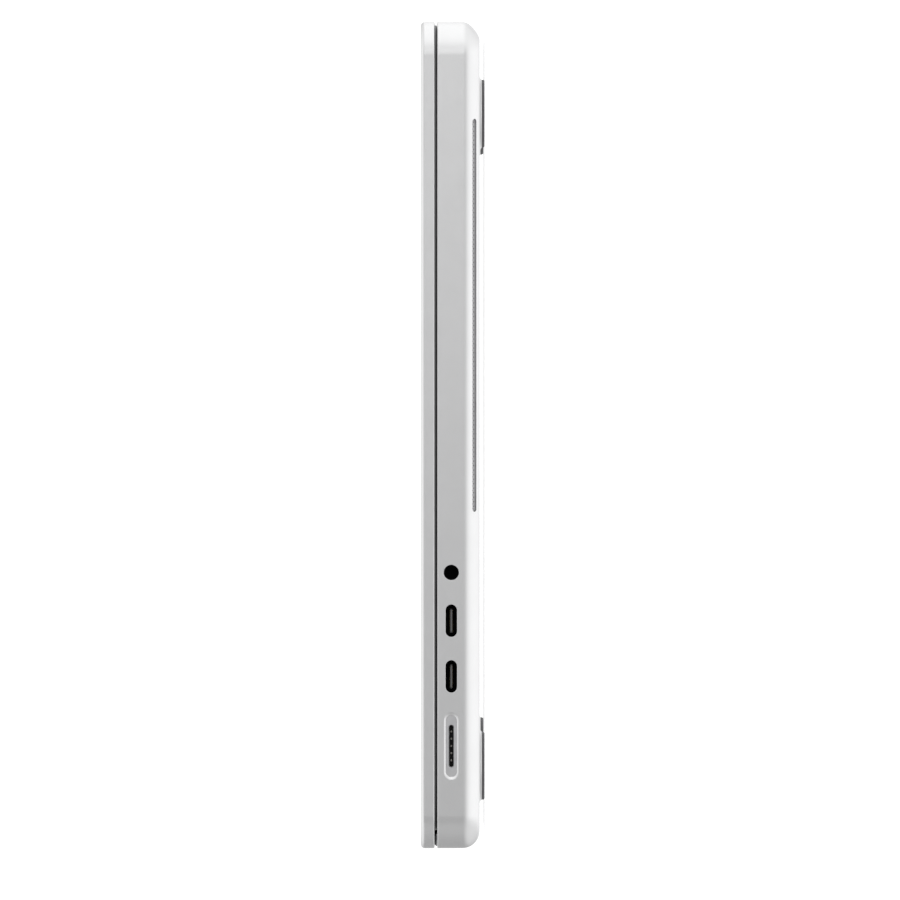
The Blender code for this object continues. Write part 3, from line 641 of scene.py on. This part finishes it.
for name, (fx, fy) in FEET.items():
    def pad(bm, x=fx, y=fy):
        profile = ((0.0, 0.00050), (0.00005, 0.00034), (0.00013, 0.00020), (0.00025, 0.00010),
                   (0.00040, 0.00004), (0.00078, 0.00002))
        steps(bm, [(z, circle(x, y, FOOT_R - inset, 64)) for z, inset in profile], "Z")
    piece(name + "_pad", pad, RUBBER, "base", [name], sharp=50.0)


def star(x, y, r, depth):
    """Circle with five shallow lobes; depth 0 leaves it round."""
    ring = []
    for i in range(40):
        a = 2 * math.pi * i / 40
        rr = r * (1 + depth * math.cos(5 * a))
        ring.append((x + rr * math.cos(a), y + rr * math.sin(a)))
    return ring


# (height above the cover's face, radius, lobe depth), from the shank down to the drive's floor
SCREW_PROFILE = ((0.0055, 0.0008, 0), (0.0009, 0.0008, 0), (0.0009, 0.0018, 0),
                 (0.00018, 0.0018, 0), (0.00005, 0.00166, 0), (0.00005, 0.00062, 0.16),
                 (0.0006, 0.00056, 0.16))
SCREWS = [(s * SCREW_X, sy) for s in (-1.0, 1.0) for sy in SCREW_Y]

for number, (screw_x, screw_y) in enumerate(SCREWS, 1):
    def screw(bm, x=screw_x, y=screw_y):
        steps(bm, [(BASE_Z + up, star(x, y, r, depth)) for up, r, depth in SCREW_PROFILE], "Z")
    piece(f"cover_bolt_{number}", screw, STEEL, "base", [f"cover_screw_{number}"])


# ---------------------------------------------------------------- sockets

def usb(name, y, s):
    def x(depth):
        return s * (SIDE - depth)

    def can(bm):
        steps(bm, [(x(d), usb_hole(y, 0.0003)) for d in (0.0025, 0.0088)], "X")

    def bore(bm):
        steps(bm, [(x(d), usb_hole(y, 0.0)) for d in (0.0, 0.0075)], "X")

    def tongue(bm):
        rows = ((0.0014, 0.00290, 0.00018), (0.0016, 0.00305, 0.00026), (0.0022, 0.00325, 0.00032),
                (0.0080, 0.00325, 0.00032))
        steps(bm, [(x(d), rounded(y - half, y + half, PORT_Z - thick, PORT_Z + thick, 0.00012, 3))
                   for d, half, thick in rows], "X")

    def contacts(bm):
        for side in (-1.0, 1.0):
            for i in range(12):
                c = y + (i - 5.5) * 0.0005
                x0, x1 = sorted((x(0.0030), x(0.0066)))
                z = PORT_Z + side * 0.00033
                block(bm, x0, x1, c - 0.00012, c + 0.00012, z - 0.00002, z + 0.00002)

    # Can in near-black painted shade.
    piece(name + "_can", can, PAINTED_SHADE_BLACK, "base", [name], [("-", bore)])
    piece(name + "_tongue", tongue, TONGUE, "base", ())
    piece(name + "_contacts", contacts, GOLD, "base")


usb("usb_c_left_front", USB_Y[0], -1.0)
usb("usb_c_left_rear", USB_Y[1], -1.0)
usb("usb_c_right", USB_RIGHT_Y, 1.0)


def jack(bm):
    block(bm, -SIDE + 0.0025, -SIDE + 0.0090, JACK_Y - 0.0029, JACK_Y + 0.0029,
          PORT_Z - 0.0024, PORT_Z + 0.0021)


# Jack bore in near-black painted shade.
piece("headphone_socket", jack, PAINTED_SHADE_BLACK, "base", ["headphone_jack"],
      [("-", lambda bm: prism(bm, circle(JACK_Y, PORT_Z, 0.0018), "X", -SIDE, -SIDE + 0.0080))])


def charge(bm):
    """Metal plate that fills the recess to a hair's breadth, its edge softly broken."""
    rows = ((0.0068, -0.00041), (0.00031, -0.00041), (0.00027, -0.00045))
    steps(bm, [(-SIDE + depth, charge_outline(grow)) for depth, grow in rows], "X")


def charge_slot(bm):
    rows = ((0.0, 0.00011), (0.00027, 0.00011), (0.00037, 0.00005), (0.0022, 0.00005))
    steps(bm, [(-SIDE + depth, stadium(CHARGE_Y, PORT_Z, 0.0112 + 2 * g, 0.0012 + 2 * g))
               for depth, g in rows], "X")


def charge_floor(bm):
    prism(bm, stadium(CHARGE_Y, PORT_Z, 0.0111, 0.0011), "X", -SIDE + 0.0016, -SIDE + 0.0021)


def charge_pins(bm):
    for i in range(5):
        y = CHARGE_Y + (i - 2) * 0.00193
        rows = ((0.0018, 0.00028), (0.00125, 0.00028), (0.00115, 0.00016))
        steps(bm, [(-SIDE + depth, circle(y, PORT_Z, r, 24)) for depth, r in rows], "X")


piece("charge_face", charge, RIM, "base", ["charge_port"], [("-", charge_slot)])
# Slot floor in near-black painted shade.
piece("charge_insulator", charge_floor, PAINTED_SHADE_BLACK, "base")
piece("charge_pins", charge_pins, PIN, "base")


def card(bm):
    block(bm, SIDE - 0.0150, SIDE - 0.0025, 0.0295, 0.0555, PORT_Z - 0.0019, PORT_Z + 0.0019)


# Card slot in near-black painted shade.
piece("card_socket", card, PAINTED_SHADE_BLACK, "base", ["card_slot"],
      [("-", lambda bm: block(bm, SIDE - 0.0142, SIDE, 0.0304, 0.0546,
                              PORT_Z - 0.0012, PORT_Z + 0.0012))])


def hdmi_can(bm):
    block(bm, SIDE - 0.0110, SIDE - 0.0025, 0.0735, 0.0895, 0.0057, 0.0111)


# HDMI socket in near-black painted shade.
piece("hdmi_socket", hdmi_can, PAINTED_SHADE_BLACK, "base", ["hdmi_port"],
      [("-", lambda bm: prism(bm, hdmi(-0.0001), "X", SIDE - 0.0100, SIDE))])
piece("hdmi_tongue",
      lambda bm: block(bm, SIDE - 0.0105, SIDE - 0.0020, 0.0760, 0.0870, 0.0083, 0.0092),
      TONGUE, "base")


def grille(bm):
    block(bm, -0.1077, 0.1077, HINGE_WALL - 0.0008, HINGE_WALL - 0.0001,
          HINGE_Z - 0.0038, HINGE_Z + 0.0012)


def grille_slots(bm):
    for s in (-1.0, 1.0):
        for i in range(18):
            x = s * (0.0185 + 0.0049 * i)
            prism(bm, stadium(x, HINGE_Z - 0.0011, 0.0038, 0.0030, 6), "Y",
                  HINGE_WALL - 0.002, HINGE_WALL + 0.001)


piece("rear_grille", grille, BLACK, "base", ["rear_vent_grille"],
      [("-", grille_slots)])


# ---------------------------------------------------------------- keyboard

def keycap(bm, x0, x1, y0, y1):
    """Cap with soft corners, tapered walls and a shallow dish."""
    rows = ((KEY_Z0, 0.0), (KEY_Z1 - 0.00030, 0.00010), (KEY_Z1 - 0.00012, 0.00017),
            (KEY_Z1 - 0.00002, 0.00034), (KEY_Z1, 0.00060), (KEY_Z1 - 0.00006, 0.0030))
    rings = []
    for z, inset in rows:
        inset = min(inset, (y1 - y0) / 2 - 0.0006)
        outline = rounded(x0 + inset, x1 - inset, y0 + inset, y1 - inset,
                          max(0.0013 - inset, 0.0005), 5)
        rings.append([(p[0], p[1], z) for p in outline])
    loft(bm, rings)


ROWS = (
    ("key_row_function", 0, 0.0, [1.5] + [1.0] * 12, "esc F1 F2 F3 F4 F5 F6 F7 F8 F9 F10 F11 F12"),
    ("key_power", 0, 13.5, [1.0], ""),
    ("key_row_number", 1, 0.0, [1.0] * 13 + [1.5], "` 1 2 3 4 5 6 7 8 9 0 - = del"),
    ("key_row_upper", 2, 0.0, [1.5] + [1.0] * 13, "tab Q W E R T Y U I O P [ ] \\"),
    ("key_row_home", 3, 0.0, [1.75] + [1.0] * 11 + [1.75], "caps A S D F G H J K L ; ' enter"),
    ("key_row_lower", 4, 0.0, [2.25] + [1.0] * 10 + [2.25], "shift Z X C V B N M , . / shift"),
    ("key_row_left_modifiers", 5, 0.0, [1.0, 1.0, 1.0, 1.25], "fn ctrl alt meta"),
    ("key_space", 5, 4.25, [5.0], ""),
    ("key_row_right_modifiers", 5, 9.25, [1.25, 1.0], "meta alt"),
)
LEFT = -7.25 * PITCH


def letters(name, marks, body):
    """Legends of one row as thin closed meshes, joined, just proud of the cap tops."""
    bm = bmesh.new()
    for text, x, y, size in marks:
        curve = bpy.data.curves.new("glyph", "FONT")
        curve.body = text
        curve.size = size
        curve.align_x = "CENTER"
        curve.align_y = "CENTER"
        curve.resolution_u = 3
        curve.extrude = 0.00002
        obj = bpy.data.objects.new("glyph", curve)
        bpy.context.scene.collection.objects.link(obj)
        graph = bpy.context.evaluated_depsgraph_get()
        flat = bpy.data.meshes.new_from_object(obj.evaluated_get(graph))
        flat.transform(Matrix.Translation((x, y, KEY_Z1 - 0.00005)))
        bm.from_mesh(flat)
        bpy.data.objects.remove(obj, do_unlink=True)
    mesh = bpy.data.meshes.new(name)
    bm.to_mesh(mesh)
    bm.free()
    mesh.materials.clear()
    mesh.materials.append(LEGEND)
    obj = bpy.data.objects.new(name, mesh)
    bpy.context.scene.collection.objects.link(obj)
    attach(obj, body)


for name, row, start, widths, words in ROWS:
    y = WELL_Y + (2.5 - row) * PITCH
    edge = LEFT + start * PITCH
    spans = []
    for width in widths:
        spans.append((edge + 0.0009, edge + width * PITCH - 0.0009))
        edge += width * PITCH

    def caps(bm, spans=spans, y=y):
        for x0, x1 in spans:
            keycap(bm, x0, x1, y - KEY / 2, y + KEY / 2)

    piece(name + "_caps", caps, KEYCAP, name + "_body", [name], sharp=50.0)
    marks = []
    for (x0, x1), text in zip(spans, words.split()):
        marks.append((text, (x0 + x1) / 2, y, 0.0052 if len(text) == 1 else 0.0031))
    if marks:
        letters(name + "_legends", marks, name + "_body")

low = WELL_Y - 2.5 * PITCH - KEY / 2
base_x = LEFT + 11.5 * PITCH
for name, column, y0, turn in (
    ("key_arrow_left", 0.5, low, 90.0),
    ("key_arrow_down", 1.5, low, 180.0),
    ("key_arrow_up", 1.5, low + KEY / 2 + 0.0003, 0.0),
    ("key_arrow_right", 2.5, low, -90.0),
):
    cx = base_x + column * PITCH
    cy = y0 + (KEY / 2 - 0.0003) / 2

    def cap(bm, x=cx, y=y0):
        keycap(bm, x - KEY / 2, x + KEY / 2, y, y + KEY / 2 - 0.0003)

    def head(bm, x=cx, y=cy, turn=turn):
        a = math.radians(turn)
        tri = [(0.0, 0.0011), (-0.0011, -0.0009), (0.0011, -0.0009)]
        ring = [(x + px * math.cos(a) - py * math.sin(a), y + px * math.sin(a) + py * math.cos(a))
                for px, py in tri]
        prism(bm, ring, "Z", KEY_Z1 - 0.00010, KEY_Z1 - 0.00002)

    piece(name + "_cap", cap, KEYCAP, name + "_body", [name], sharp=50.0)
    piece(name + "_mark", head, LEGEND, name + "_body")


def touchpad(bm):
    rows = ((0.01165, 0.0), (0.01255, 0.0), (0.01262, 0.00006), (0.01265, 0.00016))
    steps(bm, [(z, rounded(-PAD_X + i, PAD_X - i, PAD_Y0 + i, PAD_Y1 - i, PAD_CORNER_R - i, 8))
               for z, i in rows], "Z")


piece("trackpad_face", touchpad, ALU_PAD, "trackpad_body", ["trackpad"])


# ---------------------------------------------------------------- carried-over CAD nodes

def paint(mat, *names):
    for n in names:
        mesh = NODES[n].data
        mesh.materials.clear()
        mesh.materials.append(mat)


paint(WELL, "keyboard_tray", "speaker_left", "speaker_right", "display_panel", "camera_module")
paint(STEEL, "hinge_bracket_left", "hinge_bracket_right")
paint(POUCH, "battery_left", "battery_middle", "battery_right")
paint(BOARD, "logic_board")
paint(COPPER, "heat_pipe")
paint(BLACK, "fan_housing_left", "fan_housing_right", "fan_impeller_left", "fan_impeller_right")


# ---------------------------------------------------------------- studio

def floor():
    mesh = bpy.data.meshes.new("floor")
    mesh.from_pydata([(-30, -30, 0), (30, -30, 0), (30, 30, 0), (-30, 30, 0)], [], [(0, 1, 2, 3)])
    mat, tree, shader = nodes_of("floor_paper")
    shader.inputs["Base Color"].default_value = (0.80, 0.80, 0.80, 1.0)
    shader.inputs["Roughness"].default_value = 0.9
    shader.inputs["Specular IOR Level"].default_value = 0.0
    shader.inputs["Emission Color"].default_value = (1.0, 1.0, 1.0, 1.0)
    shader.inputs["Emission Strength"].default_value = 0.28
    mesh.materials.append(mat)
    obj = bpy.data.objects.new("floor", mesh)
    bpy.context.scene.collection.objects.link(obj)
    obj.visible_glossy = False


floor()


def world():
    """Soft white room: brighter to the front, above and below; dimmer straight to the left, to the
    rear and low in front."""
    w = bpy.data.worlds.new("studio")
    bpy.context.scene.world = w
    w.use_nodes = True
    tree = w.node_tree
    back = tree.nodes["Background"]
    back.inputs["Color"].default_value = (1.0, 1.0, 1.0, 1.0)
    coord = tree.nodes.new("ShaderNodeTexCoord")
    split = tree.nodes.new("ShaderNodeSeparateXYZ")
    tree.links.new(coord.outputs["Generated"], split.inputs["Vector"])

    def ramp(socket, stops):
        scaled = tree.nodes.new("ShaderNodeMapRange")
        scaled.inputs["From Min"].default_value = -1.0
        scaled.inputs["From Max"].default_value = 1.0
        tree.links.new(split.outputs[socket], scaled.inputs["Value"])
        node = tree.nodes.new("ShaderNodeValToRGB")
        node.color_ramp.interpolation = "LINEAR"
        elements = node.color_ramp.elements
        while len(elements) < len(stops):
            elements.new(0.5)
        for element, (position, value) in zip(elements, stops):
            element.position = position
            element.color = (value, value, value, 1.0)
        tree.links.new(scaled.outputs["Result"], node.inputs["Fac"])
        return node.outputs["Color"]

    def math_node(operation, a, b):
        node = tree.nodes.new("ShaderNodeMath")
        node.operation = operation
        tree.links.new(a, node.inputs[0])
        if isinstance(b, float):
            node.inputs[1].default_value = b
        else:
            tree.links.new(b, node.inputs[1])
        return node.outputs[0]

    toward_left = ramp("X", ((0.0, 0.285), (0.02, 0.375), (0.05, 0.665), (0.10, 0.90),
                             (0.20, 0.975), (0.34, 1.0), (0.65, 0.98), (0.80, 0.95),
                             (1.0, 0.66)))
    toward_front = ramp("Y", ((0.0, 0.85), (0.30, 0.84), (0.46, 0.80), (0.56, 0.77), (0.72, 0.36),
                              (1.0, 0.22)))
    off_level = ramp("Z", ((0.0, 0.56), (0.35, 0.50), (0.46, 0.22), (0.54, 0.22), (0.68, 0.82),
                           (1.0, 0.96)))
    overhead = ramp("Z", ((0.0, 1.0), (0.52, 1.0), (0.62, 0.70), (0.75, 0.66), (1.0, 0.68)))
    level = math_node("MULTIPLY", math_node("MAXIMUM", toward_front, off_level), overhead)
    ahead = ramp("Y", ((0.0, 1.0), (0.30, 0.80), (0.47, 0.0), (1.0, 0.0)))
    low = ramp("Z", ((0.0, 0.20), (0.30, 0.26), (0.42, 0.14), (0.49, 0.0), (1.0, 0.0)))
    dimmed = math_node("MULTIPLY", ahead, low)
    kept = math_node("SUBTRACT", level, math_node("MULTIPLY", level, dimmed))
    tree.links.new(math_node("MULTIPLY", math_node("MULTIPLY", toward_left, kept), 2.19),
                   back.inputs["Strength"])


world()


def lamp(name, place, target, size, power):
    data = bpy.data.lights.new(name, "AREA")
    data.shape = "RECTANGLE"
    data.size, data.size_y = size
    data.energy = power
    obj = bpy.data.objects.new(name, data)
    obj.location = place
    obj.rotation_mode = "QUATERNION"
    obj.rotation_quaternion = (Vector(target) - Vector(place)).to_track_quat("-Z", "Y")
    obj.visible_camera = False
    bpy.context.scene.collection.objects.link(obj)
    return obj


lamp("side_front", (-1.10, -0.265, 0.05), (-0.156, -0.06, 0.01), (0.43, 0.50), 0.74)
top = lamp("top_soft", (0.3, 0.4, 1.8), (0.0, 0.0, 0.0), (1.6, 1.6), 12.0)
top.visible_glossy = False


def camera():
    """Square to the left side, rolled a quarter turn so that the front edge is up."""
    data = bpy.data.cameras.new("camera")
    data.lens = 1009.0
    data.sensor_width = 36.0
    data.clip_start, data.clip_end = 0.1, 100.0
    obj = bpy.data.objects.new("camera", data)
    place = Vector((-6.90, -0.02595, 0.00928))
    aim = Vector((-0.1563, 0.00395, 0.00928))
    forward = (aim - place).normalized()
    right = Vector((0.0, 0.0, -1.0))
    up = right.cross(forward)
    obj.matrix_world = Matrix((
        (right.x, up.x, -forward.x, place.x),
        (right.y, up.y, -forward.y, place.y),
        (right.z, up.z, -forward.z, place.z),
        (0.0, 0.0, 0.0, 1.0),
    ))
    bpy.context.scene.collection.objects.link(obj)
    bpy.context.scene.camera = obj


camera()
bpy.context.scene.view_settings.view_transform = "Standard"
bpy.context.scene.view_settings.look = "None"
